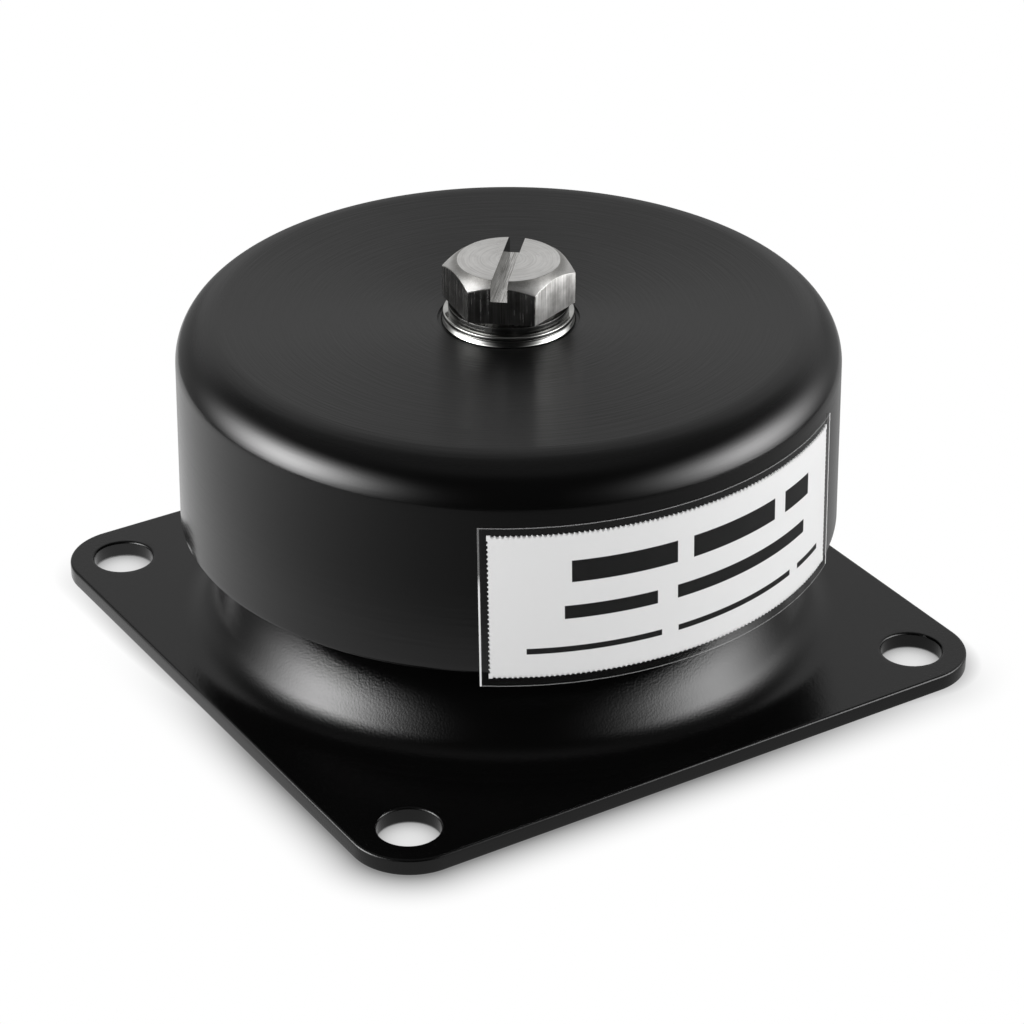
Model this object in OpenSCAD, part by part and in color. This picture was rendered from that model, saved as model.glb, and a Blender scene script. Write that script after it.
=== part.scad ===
// Captive rubber-metal mount: a drawn square base with a flared bell, rubber rings
// held by a core, and a deep drawn cap that a slotted hexagon screw clamps on top.
// Millimetres, +Z up, origin at the centre of the base's underside.

/* [Base plate] */
// Thickness of the base sheet
sheet_t = 2; // [1.5:0.1:2.6]
// Flat rim left between the foot of the flare and the plate's side
plate_margin = 1.7; // [0.8:0.1:12]
// Radius of the plate's four corners
corner_r = 7; // [3:0.5:9]
// Distance from the plate's side to the centre of a fixing hole
hole_inset = 6.5; // [5.5:0.25:8]
// Diameter of a fixing hole
hole_d = 7; // [5:0.25:9]
// Rounding of the plate's outer edges
edge_round = 0.3; // [0.1:0.05:0.6]
// Rounding of the rims of the fixing holes
hole_round = 0.3; // [0.1:0.05:0.6]

/* [Flared bell of the base] */
// How far the foot of the flare stands out past the cap's rim
foot_reach = 0.55; // [0:0.05:3]
// Hollow radius where the flare leaves the flat plate
foot_r = 5; // [3:0.25:7]
// Steepest slope of the flare, in degrees
flank_angle = 60; // [48:1:70]
// Length of the straight flank at that slope
flank_l = 1.8; // [0.5:0.1:3.5]
// Outer radius of the bell's shoulder
shoulder_r = 16; // [11:0.5:18]

/* [Cap] */
// Diameter of the cap at its rim
cap_d = 75.5; // [70:0.5:84]
// Height of the cap from its rim to its highest line
cap_h = 24.55; // [21:0.25:32]
// Wall of the cap
cap_wall = 1.5; // [1:0.1:2.5]
// Outer radius of the cap's rounded edge
crown_r = 5.1; // [3.5:0.1:8]
// How far the middle of the cap lies below its highest line
crown_dish = 0.85; // [0.2:0.05:1.5]
// Lean of the cap's side, in degrees
cap_draft = 0.76; // [0.2:0.02:2]
// Height of the cap's rim above the plate
rim_gap = 13.55; // [12.5:0.25:18]
// Rounding of the cap's rim
rim_round = 0.4; // [0.1:0.05:0.5]
// Flat seat left round the lowest washer
seat_land = 1.4; // [0.6:0.1:4]
// Depth of the round recess that the lowest washer lies in
seat_recess = 0.3; // [0.1:0.05:0.5]

/* [Rubber rings] */
// How far the load ring wraps down the bell's shoulder, in degrees
rubber_wrap = 31; // [18:1:38]
// Depth of the load ring's waist
waist_depth = 3; // [1:0.25:4]
// Rubber left outside the core where the bell's opening is
buffer_wall = 5.5; // [4:0.25:6.5]
// Gap between the load ring's cavity and the bell's opening
cavity_gap = 1.5; // [0.5:0.25:2.5]
// Thickness of the rebound ring below the bell
rebound_t = 3.5; // [2.5:0.25:4]
// Flat of the bell's ledge left outside the rebound ring
rebound_inset = 0.2; // [0.1:0.1:2]

/* [Core and plates] */
// Radius of the core
core_r = 8; // [7:0.25:9]
// Step from the core down to its riveted tail
tail_step = 3; // [2:0.25:3.5]
// How far the riveted head stands out past the tail
rivet_lip = 1.4; // [0.8:0.1:2]
// Height of the riveted head
rivet_h = 1.3; // [0.8:0.1:1.6]
// Thickness of the support plate under the cap
support_t = 2; // [1.5:0.1:3]
// Radius of the support plate
support_r = 24.5; // [20:0.5:28]
// Thickness of the rebound washer
rebound_washer_t = 2; // [1.2:0.1:2.5]
// How far the rebound ring stands out past its washer
rebound_margin = 1.5; // [0.5:0.25:3]

/* [Screw] */
// Nominal diameter of the screw's thread
thread_d = 8; // [6:0.5:9]
// Length of the screw below its head
screw_l = 20; // [14:1:24]
// Width across the flats of the head
hex_af = 13; // [11:0.25:14]
// Height of the whole head
head_h = 5.3; // [4.5:0.1:6.5]
// Height of the round bearing face below the hexagon
face_h = 0.35; // [0.2:0.05:0.8]
// Width of the chamfer at the middle of a flat
top_land = 0.78; // [0.4:0.02:1.2]
// Slope of the chamfer, in degrees
chamfer_angle = 35; // [25:1:45]
// Width of the screwdriver slot
slot_w = 1.85; // [1.2:0.05:2.6]
// Depth of the screwdriver slot
slot_depth = 2.25; // [1:0.05:3]
// Direction in which the slot runs, in degrees from +X
slot_angle = 48.3; // [0:0.1:180]
// How far the hexagon is turned from lying square to the slot, in degrees
hex_turn = 2.5; // [-10:0.5:10]

/* [Washers] */
// Diameter of the bevelled seat washer on the cap
seat_washer_d = 15.2; // [14:0.1:18]
// Thickness of the seat washer
seat_washer_t = 0.8; // [0.5:0.05:1.6]
// Bevel of the seat washer's upper edge
seat_bevel = 0.3; // [0.1:0.05:0.3]
// Diameter of the plain washer
plain_washer_d = 14.8; // [13.5:0.1:18]
// Thickness of the plain washer
plain_washer_t = 0.55; // [0.4:0.05:1.6]
// Diameter of the spring lock washer
lock_washer_d = 13.6; // [12.5:0.1:14.5]
// Thickness of the spring lock washer
lock_washer_t = 0.85; // [0.6:0.05:2]
// Width of the split in the lock washer
split_w = 0.9; // [0.4:0.1:1.5]

/* [Label] */
// Length of the printed label along the cap's side
label_w = 47.1; // [30:0.5:60]
// Thickness of the printed label
label_t = 0.12; // [0.08:0.01:0.2]
// Thickness of the clear film over it
film_t = 0.08; // [0.05:0.01:0.15]
// Clear film left all round the label
film_margin = 0.95; // [0.5:0.05:2]
// How far the film hangs below the cap's rim
film_hang = 1; // [0:0.1:2]
// Bare side left above the film, up to the rounded edge
label_top_gap = 1.25; // [0.8:0.05:6]
// Direction of the label's middle, in degrees from +X
label_angle = -89.75; // [-180:0.25:180]
// How much the label is stuck on askew, in degrees
label_tilt = 0.8; // [0:0.1:1.2]

/* [Hidden] */
$fn = 96;

black_paint = "#1c1d1f";
rubber_black = "#26262a";
plated_steel = "#a8a79f";
stainless = "#c9c8c2";
label_white = "#e6e6e3";
film_clear = [0.85, 0.87, 0.88, 0.35];

// Small gaps, steps and edges
lap = 0.4;               // overlap of the bell and the flat plate inside one sheet
bolt_gap = 0.5;          // radial room for the screw in the cap and the support plate
washer_gap = 0.2;        // radial room for the screw in the washers
recess_gap = 0.4;        // radial room for the lowest washer in its recess
thread_gap = 0.05;       // radial room for the screw in the core
bore_run_out = 2;        // bore left below the screw's tip
drill_angle = 118;       // point of the drilled bore
disc_soft = 0.4;         // rounded edge of the support plate and the rebound washer
washer_soft = 0.15;      // rounded edge of the plain washer
foot_lip = 1;            // load ring's straight foot, above the ledge
load_top_inset = 1;      // support plate left outside the load ring
cavity_close = 0.55;     // share of the load ring's height where its cavity ends
collar_rise = 1;         // rebound ring's collar above the ledge
collar_bevel = 0.6;      // bevel on top of that collar
flange_bevel = 0.8;      // bevel below the rebound ring's flange
tip_chamfer = 0.8;       // chamfer on the screw's tip
face_inset = 0.6;        // bearing face inside the head's flats
split_angle = 60;        // direction of the lock washer's split
split_slant = 35;        // slant of that split
arc_tol = 0.006;         // most that a worked-out arc departs from a true one
shoulder_step = 3;       // degrees between the points of the bell's shoulder
eps = 0.01;

// Plate
cap_r = cap_d / 2;
flare_r = cap_r + foot_reach;
plate_side = 2 * (flare_r + plate_margin);
hole_at = plate_side / 2 - hole_inset;

// Bell: hollow foot, straight flank, round shoulder, flat ledge
foot_z = sheet_t + foot_r;
flank_x = flare_r - foot_r * sin(flank_angle) - flank_l * cos(flank_angle);
flank_z = sheet_t + foot_r * (1 - cos(flank_angle)) + flank_l * sin(flank_angle);
shoulder_x = flank_x - shoulder_r * sin(flank_angle);
shoulder_z = flank_z - shoulder_r * cos(flank_angle);
ledge_z = shoulder_z + shoulder_r;
opening_r = core_r + buffer_wall;

// Cap
rim_z = sheet_t + rim_gap;
crown_z = rim_z + cap_h;
seat_r = seat_washer_d / 2 + seat_land;
seat_z = crown_z - crown_dish;
recess_r = seat_washer_d / 2 + recess_gap;
recess_z = seat_z - seat_recess;
edge_z = crown_z - crown_r;
edge_x = cap_r - (crown_r + (edge_z - rim_z) * sin(cap_draft)) / cos(cap_draft);
seat_span = norm([edge_x - seat_r, crown_r - crown_dish]);
dish_angle = asin(crown_r / seat_span) - atan2(crown_r - crown_dish, edge_x - seat_r);

// Core and the plates that it carries
support_z = seat_z - cap_wall - support_t;
rebound_z = ledge_z - sheet_t - rebound_t;
rivet_z = rebound_z - rebound_washer_t - rivet_h;
tail_r = core_r - tail_step;
rebound_r = shoulder_x - rebound_inset;
bolt_hole_r = thread_d / 2 + bolt_gap;
washer_hole_r = thread_d / 2 + washer_gap;

// Washers and screw, stacked on the floor of the cap's recess
plain_z = recess_z + seat_washer_t;
lock_z = plain_z + plain_washer_t;
head_z = lock_z + lock_washer_t;
screw_r = thread_d / 2;
screw_tip_z = head_z - screw_l;

// Label
side_h = cap_h - crown_r;
film_h = side_h - label_top_gap + film_hang;
film_w = label_w + 2 * film_margin;
label_h = film_h - 2 * film_margin;
label_z = rim_z - film_hang + film_h / 2;

// Points of an arc about [cx, cz], from angle a to angle b.
// A quarter turn always gets the same points, so that two faces that share one meet.
function arc(cx, cz, r, a, b) =
    let (
        per_quarter = ceil(90 / (2 * acos(1 - arc_tol / r))),
        steps = max(2, ceil(abs(b - a) / 90 * per_quarter))
    )
    [for (i = [0:steps]) let (t = a + (b - a) * i / steps) [cx + r * cos(t), cz + r * sin(t)]];

// Outer end of a rounded bar or disc: out to x, from z = 0 up to z = t
function round_end(x, t, r) = concat(arc(x - r, r, r, -90, 0), arc(x - r, t - r, r, 0, 90));

// Points on the bell's round shoulder, from so many degrees down it up to the ledge.
// They are counted from the ledge, so that what seats on the shoulder meets it exactly.
function shoulder(r, wrap) = concat(
    [[shoulder_x + r * sin(wrap), shoulder_z + r * cos(wrap)]],
    [for (i = [ceil(wrap / shoulder_step) - 1:-1:0]) let (a = i * shoulder_step)
        [shoulder_x + r * sin(a), shoulder_z + r * cos(a)]]
);

// The same points in the other order
function backwards(pts) = [for (i = [len(pts) - 1:-1:0]) pts[i]];

// A square plate with round corners and softened edges
module soft_plate(side, corner, t, soft) {
    reach = side / 2 - corner;
    for (x = [-reach, reach], y = [-reach, reach])
        translate([x, y, 0])
            rotate_extrude()
                polygon(concat([[0, 0]], round_end(corner, t, soft), [[0, t]]));
    end_pts = round_end(side / 2, t, soft);
    bar_pts = concat(end_pts, [for (p = backwards(end_pts)) [-p[0], p[1]]]);
    for (turn = [0, 90])
        rotate([0, 0, turn])
            translate([-reach, 0, 0])
                rotate([90, 0, 90])
                    linear_extrude(height = 2 * reach)
                        polygon(bar_pts);
}

// A hole through the plate, with rounded rims
module soft_hole(r, t, soft) {
    rotate_extrude()
        polygon(concat(
            [[0, -eps], [r + soft, -eps], [r + soft, 0]],
            arc(r + soft, soft, soft, -90, -180),
            arc(r + soft, t - soft, soft, 180, 90),
            [[r + soft, t + eps], [0, t + eps]]
        ));
}

// Section of the bell, drawn from the same sheet as the plate
module bell_section() {
    polygon(concat(
        [[flare_r + 2 * lap, sheet_t]],
        arc(flare_r, foot_z, foot_r, 270, 270 - flank_angle),
        shoulder(shoulder_r, flank_angle),
        arc(opening_r + sheet_t / 2, ledge_z - sheet_t / 2, sheet_t / 2, 90, 270),
        backwards(shoulder(shoulder_r - sheet_t, flank_angle)),
        arc(flare_r, foot_z, foot_r + sheet_t, 270 - flank_angle, 270),
        [[flare_r + 2 * lap, 0]]
    ));
}

// Square plate and flared bell, one pressing
module base_plate() {
    color(black_paint)
        union() {
            difference() {
                soft_plate(plate_side, corner_r, sheet_t, edge_round);
                translate([0, 0, -1]) cylinder(h = sheet_t + 2, r = flare_r + lap);
                for (x = [-hole_at, hole_at], y = [-hole_at, hole_at])
                    translate([x, y, 0]) soft_hole(hole_d / 2, sheet_t, hole_round);
            }
            rotate_extrude() bell_section();
        }
}

// Load ring: waisted rubber between the bell's shoulder and the support plate.
// Its cavity closes on the core part of the way up, and is bonded to it from there.
module load_ring() {
    levels = 24;
    wrap_r = shoulder_x + shoulder_r * sin(rubber_wrap);
    top_r = support_r - load_top_inset;
    cavity_r = opening_r + cavity_gap;
    foot_top = ledge_z + foot_lip;
    rise = support_z - foot_top;
    outer = [for (i = [0:levels]) let (s = i / levels)
        [wrap_r + (top_r - wrap_r) * s - waist_depth * pow(sin(180 * s), 2), foot_top + rise * s]];
    cavity = [for (i = [0:levels]) let (u = i / levels)
        [cavity_r - (cavity_r - core_r) * u * u * (3 - 2 * u), foot_top + rise * cavity_close * u]];
    color(rubber_black)
        rotate_extrude()
            polygon(concat(
                outer,
                [[core_r, support_z]],
                backwards(cavity),
                [[cavity_r, ledge_z]],
                backwards(shoulder(shoulder_r, rubber_wrap))
            ));
}

// Rebound ring: rubber collar in the bell's opening with a flange below the ledge
module rebound_ring() {
    edge = sheet_t / 2;
    color(rubber_black)
        rotate_extrude()
            polygon(concat(
                [[core_r, rebound_z], [rebound_r - flange_bevel, rebound_z]],
                [[rebound_r, rebound_z + flange_bevel], [rebound_r, ledge_z - sheet_t]],
                arc(opening_r + edge, ledge_z - edge, edge, 270, 180),
                [[opening_r, ledge_z + collar_rise - collar_bevel]],
                [[opening_r - collar_bevel, ledge_z + collar_rise], [core_r, ledge_z + collar_rise]]
            ));
}

// Core: turned steel, tapped from above, its tail riveted over the rebound washer
module core() {
    bore_r = screw_r + thread_gap;
    bore_z = screw_tip_z - bore_run_out;
    point_h = bore_r / tan(drill_angle / 2);
    head_r = tail_r + rivet_lip;
    round_r = rivet_h / 2;
    color(plated_steel)
        difference() {
            rotate_extrude()
                polygon(concat(
                    [[0, rivet_z]],
                    arc(head_r - round_r, rivet_z + round_r, round_r, -90, 0),
                    [[head_r, rivet_z + rivet_h], [tail_r, rivet_z + rivet_h]],
                    [[tail_r, rebound_z], [core_r, rebound_z], [core_r, support_z], [0, support_z]]
                ));
            translate([0, 0, bore_z]) cylinder(h = support_z - bore_z + 1, r = bore_r);
            translate([0, 0, bore_z - point_h]) cylinder(h = point_h + eps, r1 = 0, r2 = bore_r);
        }
}

// A flat disc with a round hole and softened outer edges
module disc(r_out, r_in, t, soft) {
    difference() {
        rotate_extrude() polygon(concat([[0, 0]], round_end(r_out, t, soft), [[0, t]]));
        translate([0, 0, -1]) cylinder(h = t + 2, r = r_in);
    }
}

// Rebound washer under the rebound ring
module rebound_washer() {
    color(plated_steel)
        translate([0, 0, rebound_z - rebound_washer_t])
            disc(rebound_r - rebound_margin, tail_r, rebound_washer_t, disc_soft);
}

// Support plate bonded on top of the load ring, under the cap
module support_plate() {
    color(plated_steel)
        translate([0, 0, support_z])
            disc(support_r, bolt_hole_r, support_t, disc_soft);
}

// Radius of the cap's leaning side at a height, so far inside its outer face
function side_x(z, inset) = cap_r - (z - rim_z) * tan(cap_draft) - inset / cos(cap_draft);

// Section of the cap: leaning side, rounded edge, slightly dished top, flat seat with a recess
module cap_section() {
    seat_in = seat_r + cap_wall * tan(dish_angle / 2);
    turn_z = rim_z + rim_round;
    polygon(concat(
        [[bolt_hole_r, recess_z], [recess_r, recess_z], [recess_r, seat_z], [seat_r, seat_z]],
        arc(edge_x, edge_z, crown_r, 90 + dish_angle, cap_draft),
        arc(side_x(turn_z, rim_round), turn_z, rim_round, cap_draft, -90),
        arc(side_x(turn_z, cap_wall - rim_round), turn_z, rim_round, -90, cap_draft - 180),
        arc(edge_x, edge_z, crown_r - cap_wall, cap_draft, 90 + dish_angle),
        [[seat_in, seat_z - cap_wall], [bolt_hole_r, seat_z - cap_wall]]
    ));
}

// Deep drawn cap
module cap() {
    color(black_paint) rotate_extrude() cap_section();
}

// Lowest washer, with a bevelled upper edge
module seat_washer() {
    r = seat_washer_d / 2;
    color(stainless)
        translate([0, 0, recess_z])
            difference() {
                union() {
                    cylinder(h = seat_washer_t - seat_bevel, r = r);
                    translate([0, 0, seat_washer_t - seat_bevel])
                        cylinder(h = seat_bevel, r1 = r, r2 = r - seat_bevel);
                }
                translate([0, 0, -1]) cylinder(h = seat_washer_t + 2, r = washer_hole_r);
            }
}

// Plain washer with rolled edges
module plain_washer() {
    color(stainless)
        translate([0, 0, plain_z])
            disc(plain_washer_d / 2, washer_hole_r, plain_washer_t, washer_soft);
}

// Spring lock washer, closed flat, with a slanted split
module lock_washer() {
    color(stainless)
        difference() {
            translate([0, 0, lock_z]) cylinder(h = lock_washer_t, r = lock_washer_d / 2);
            translate([0, 0, lock_z - 1]) cylinder(h = lock_washer_t + 2, r = washer_hole_r);
            rotate([0, 0, split_angle])
                translate([0, 0, lock_z + lock_washer_t / 2])
                    rotate([split_slant, 0, 0])
                        translate([0, -split_w / 2, -lock_washer_t * 2])
                            cube([lock_washer_d, split_w, lock_washer_t * 4]);
        }
}

// Hexagon head with a chamfered top, a bearing face and a through slot
module screw_head() {
    top_r = hex_af / 2 - top_land;
    corner = hex_af / sqrt(3);
    outside = corner + 1;
    slope_h = (outside - top_r) * tan(chamfer_angle);
    difference() {
        union() {
            cylinder(h = face_h, r = hex_af / 2 - face_inset);
            intersection() {
                translate([0, 0, face_h])
                    rotate([0, 0, 30 + hex_turn])
                        cylinder(h = head_h - face_h, r = corner, $fn = 6);
                union() {
                    cylinder(h = head_h - slope_h, r = outside);
                    translate([0, 0, head_h - slope_h]) cylinder(h = slope_h, r1 = outside, r2 = top_r);
                }
            }
        }
        translate([-hex_af, -slot_w / 2, head_h - slot_depth]) cube([2 * hex_af, slot_w, slot_depth + 1]);
    }
}

// Slotted hexagon screw; its thread is left as a plain shank
module hex_screw() {
    color(stainless)
        union() {
            translate([0, 0, head_z]) rotate([0, 0, slot_angle]) screw_head();
            translate([0, 0, screw_tip_z + tip_chamfer])
                cylinder(h = screw_l - tip_chamfer + face_h / 2, r = screw_r);
            translate([0, 0, screw_tip_z])
                cylinder(h = tip_chamfer, r1 = screw_r - tip_chamfer, r2 = screw_r);
        }
}

// The cap's leaning side as a solid cone between two heights, so far outside it
module side_cone(low, high, out) {
    translate([0, 0, low])
        cylinder(h = high - low, r1 = side_x(low, -out), r2 = side_x(high, -out));
}

// A sheet lying on the cap's side between two depths, cut to a tilted rectangle
module side_sheet(w, h, from, to) {
    low = label_z - h;
    high = label_z + h;
    half_chord = cap_r * sin(w / 2 / cap_r * 180 / PI);
    intersection() {
        difference() {
            side_cone(low, high, to);
            side_cone(low - eps, high + eps, from);
        }
        rotate([0, 0, label_angle])
            translate([cap_r / 2, 0, label_z])
                rotate([label_tilt, 0, 0])
                    translate([0, -half_chord, -h / 2])
                        cube([cap_r, 2 * half_chord, h]);
    }
}

// Printed label, on the cap's side
module label() {
    color(label_white) side_sheet(label_w, label_h, 0, label_t);
}

// Clear film over the label and the bare margin round it
module label_film() {
    color(film_clear)
        difference() {
            side_sheet(film_w, film_h, 0, label_t + film_t);
            side_sheet(label_w, label_h, -1, label_t);
        }
}

base_plate();
load_ring();
rebound_ring();
core();
rebound_washer();
support_plate();
cap();
seat_washer();
plain_washer();
lock_washer();
hex_screw();
label();
label_film();
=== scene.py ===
import bmesh
import bpy
import numpy as np
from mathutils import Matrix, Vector


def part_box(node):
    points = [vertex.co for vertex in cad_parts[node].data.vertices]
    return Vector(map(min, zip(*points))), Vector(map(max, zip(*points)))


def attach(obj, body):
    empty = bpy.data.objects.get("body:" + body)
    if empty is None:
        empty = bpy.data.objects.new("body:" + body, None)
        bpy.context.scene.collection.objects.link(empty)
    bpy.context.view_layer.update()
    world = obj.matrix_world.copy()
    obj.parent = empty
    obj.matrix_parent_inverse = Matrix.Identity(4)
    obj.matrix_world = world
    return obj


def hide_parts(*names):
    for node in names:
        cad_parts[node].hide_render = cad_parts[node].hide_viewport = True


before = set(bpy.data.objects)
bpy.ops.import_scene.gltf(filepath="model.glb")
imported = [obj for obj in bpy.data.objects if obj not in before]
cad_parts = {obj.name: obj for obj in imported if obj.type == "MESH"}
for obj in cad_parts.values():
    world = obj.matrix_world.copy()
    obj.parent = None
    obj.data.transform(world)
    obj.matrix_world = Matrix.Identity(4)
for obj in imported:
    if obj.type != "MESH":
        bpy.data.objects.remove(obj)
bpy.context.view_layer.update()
mm = 0.001
mergeReach = 2e-6
print("frame loaded")


# Working numbers in millimetres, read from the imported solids

def corners(node):
    low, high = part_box(node)
    return np.array(low) / mm, np.array(high) / mm


plateHigh = corners("base_plate")[1]
capLow, capHigh = corners("cap")
sheet = 2.0
ledge = plateHigh[2]
capRadius = capHigh[0]
rim = capLow[2]
crown = capHigh[2]


# Shapes: profiles, grids and the pieces made of them

def arc(x, z, radius, start, end, steps):
    # centre plus radius times the cosine and sine of an even run of angles
    turn = np.radians(np.linspace(start, end, steps + 1))
    return np.column_stack([x + radius * np.cos(turn), z + radius * np.sin(turn)])


def line(start, end, steps=1, ease=0):
    # straight from start to end, with the steps crowded at both ends where ease is above 0
    run = np.linspace(0, 1, steps + 1)
    run = run - ease * np.sin(2 * np.pi * run) / (2 * np.pi)
    return np.array(start) + np.outer(run, np.subtract(end, start))


def chain(*pieces):
    # one run of points out of several, each doubled point kept once
    points = np.vstack([np.atleast_2d(piece) for piece in pieces])
    keep = np.r_[True, np.linalg.norm(np.diff(points, axis=0), axis=1) > 1e-6]
    return points[keep]


def softDisc(outer, inner, low, thick, soft, steps=5):
    # section of a flat ring whose outer and inner edges are rounded by soft
    high = low + thick
    return chain(
        arc(outer - soft, low + soft, soft, -90, 0, steps),
        arc(outer - soft, high - soft, soft, 0, 90, steps),
        line((outer - soft, high), (inner + soft, high), 6, 0.8),
        arc(inner + soft, high - soft, soft, 90, 180, steps),
        arc(inner + soft, low + soft, soft, 180, 270, steps),
        line((inner + soft, low), (outer - soft, low), 6, 0.8),
    )


def turned(profile, loop=True, turns=256):
    # surface of revolution: radius times the turn's cosine and sine, and the profile's height
    turn = np.linspace(0, 2 * np.pi, turns, endpoint=False)[:, None]
    radius, height = profile[:, 0], profile[:, 1]
    grid = np.stack([
        radius * np.cos(turn),
        radius * np.sin(turn),
        np.broadcast_to(height, (turns, len(profile))),
    ], axis=-1)
    return grid, True, loop


def gridFaces(rows, columns, closeRows, closeColumns):
    # four neighbours of a grid make a face; a closed direction joins its last line to its first
    index = np.arange(rows * columns).reshape(rows, columns)
    if closeRows:
        index = np.vstack([index, index[:1]])
    if closeColumns:
        index = np.column_stack([index, index[:, :1]])
    quads = np.stack([index[:-1, :-1], index[1:, :-1], index[1:, 1:], index[:-1, 1:]], axis=-1)
    return quads.reshape(-1, 4)


def makePiece(name, grids, finish, nodes, sharp=40):
    # one closed mesh out of grids that share their edges, in place of the CAD nodes
    points, faces, count = [], [], 0
    for grid, closeRows, closeColumns in grids:
        points.append(grid.reshape(-1, 3))
        faces.append(gridFaces(*grid.shape[:2], closeRows, closeColumns) + count)
        count += len(points[-1])
    mesh = bpy.data.meshes.new(name)
    mesh.from_pydata(np.vstack(points) * mm, [], np.vstack(faces))
    work = bmesh.new()
    work.from_mesh(mesh)
    bmesh.ops.remove_doubles(work, verts=work.verts, dist=mergeReach)
    bmesh.ops.recalc_face_normals(work, faces=work.faces)
    work.to_mesh(mesh)
    work.free()
    return finishPiece(name, mesh, finish, nodes, sharp)


def finishPiece(name, mesh, finish, nodes, sharp=40):
    mesh.shade_smooth()
    mesh.set_sharp_from_angle(angle=np.radians(sharp))
    mesh.materials.append(finish)
    piece = bpy.data.objects.new(name, mesh)
    bpy.context.scene.collection.objects.link(piece)
    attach(piece, "root")
    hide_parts(*nodes)
    return piece


# Finishes: node trees written as sums

class Wire:
    # a number socket with Python's operators, each of which adds a Math node
    def __init__(self, tree, socket):
        self.tree = tree
        self.socket = socket

    def math(self, operation, *values):
        return self.tree.node("ShaderNodeMath", {"operation": operation}, dict(enumerate(values)))

    def __add__(self, other):
        return self.math("ADD", self, other)

    __radd__ = __add__

    def __mul__(self, other):
        return self.math("MULTIPLY", self, other)

    __rmul__ = __mul__

    def __sub__(self, other):
        return self.math("SUBTRACT", self, other)

    def __rsub__(self, other):
        return self.math("SUBTRACT", other, self)

    def __truediv__(self, other):
        return self.math("DIVIDE", self, other)

    def __rtruediv__(self, other):
        return self.math("DIVIDE", other, self)

    def __gt__(self, other):
        return self.math("GREATER_THAN", self, other)

    def __lt__(self, other):
        return self.math("LESS_THAN", self, other)

    def __abs__(self):
        return self.math("ABSOLUTE", self)

    def most(self, other):
        return self.math("MAXIMUM", self, other)

    def least(self, other):
        return self.math("MINIMUM", self, other)

    def step(self, low, high):
        # 0 below low, 1 above high and smooth between them
        settings = {"interpolation_type": "SMOOTHSTEP"}
        return self.tree.node("ShaderNodeMapRange", settings, {0: self, 1: low, 2: high})


class Tree:
    # a node tree of a material or the world; node() makes every node but the sums
    def __init__(self, holder):
        holder.use_nodes = True
        self.holder = holder
        self.tree = holder.node_tree
        self.tree.nodes.clear()

    def node(self, kind, settings={}, values={}, output=0):
        made = self.tree.nodes.new(kind)
        for setting, value in settings.items():
            setattr(made, setting, value)
        for socket, value in values.items():
            if isinstance(value, Wire):
                self.tree.links.new(value.socket, made.inputs[socket])
            else:
                made.inputs[socket].default_value = value
        return Wire(self, made.outputs[output]) if made.outputs else None

    def mix(self, share, first, second):
        colors = {0: share, 6: first, 7: second}
        return self.node("ShaderNodeMix", {"data_type": "RGBA"}, colors, 2)

    def place(self):
        # where a point of the piece is, in metres
        return self.node("ShaderNodeTexCoord", output="Object")

    def parts(self, vector):
        # x, y and z of a vector as three number wires
        return [self.node("ShaderNodeSeparateXYZ", {}, {0: vector}, axis) for axis in range(3)]

    def noise(self, vector, scale, detail=2, roughness=0.5):
        values = {"Vector": vector, "Scale": scale, "Detail": detail, "Roughness": roughness}
        return self.node("ShaderNodeTexNoise", {}, values, "Fac")

    def vector(self, x, y, z):
        return self.node("ShaderNodeCombineXYZ", {}, {0: x, 1: y, 2: z})

    def bump(self, height, distance, below=None):
        values = {"Height": height, "Distance": distance, "Strength": 1}
        if below:
            values["Normal"] = below
        return self.node("ShaderNodeBump", {}, values)

    def polar(self, place):
        # distance from the piece's axis and the turn about it, in radians
        x, y, z = self.parts(place)
        radius = (x * x + y * y).math("SQRT", x * x + y * y)
        return radius, x.math("ARCTAN2", y, x), z

    def principled(self, **values):
        named = {key.replace("_", " "): value for key, value in values.items()}
        return self.node("ShaderNodeBsdfPrincipled", {}, named)

    def surface(self, shader, second=None, share=0):
        # one shader, or two of them blended by a share
        if second:
            shader = self.node("ShaderNodeMixShader", {}, {0: share, 1: shader, 2: second})
        self.node("ShaderNodeOutputMaterial", {}, {"Surface": shader})
        return self.holder


def newTree(name):
    return Tree(bpy.data.materials.new(name))


def gray(level):
    return (level, level, level, 1)


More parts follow.
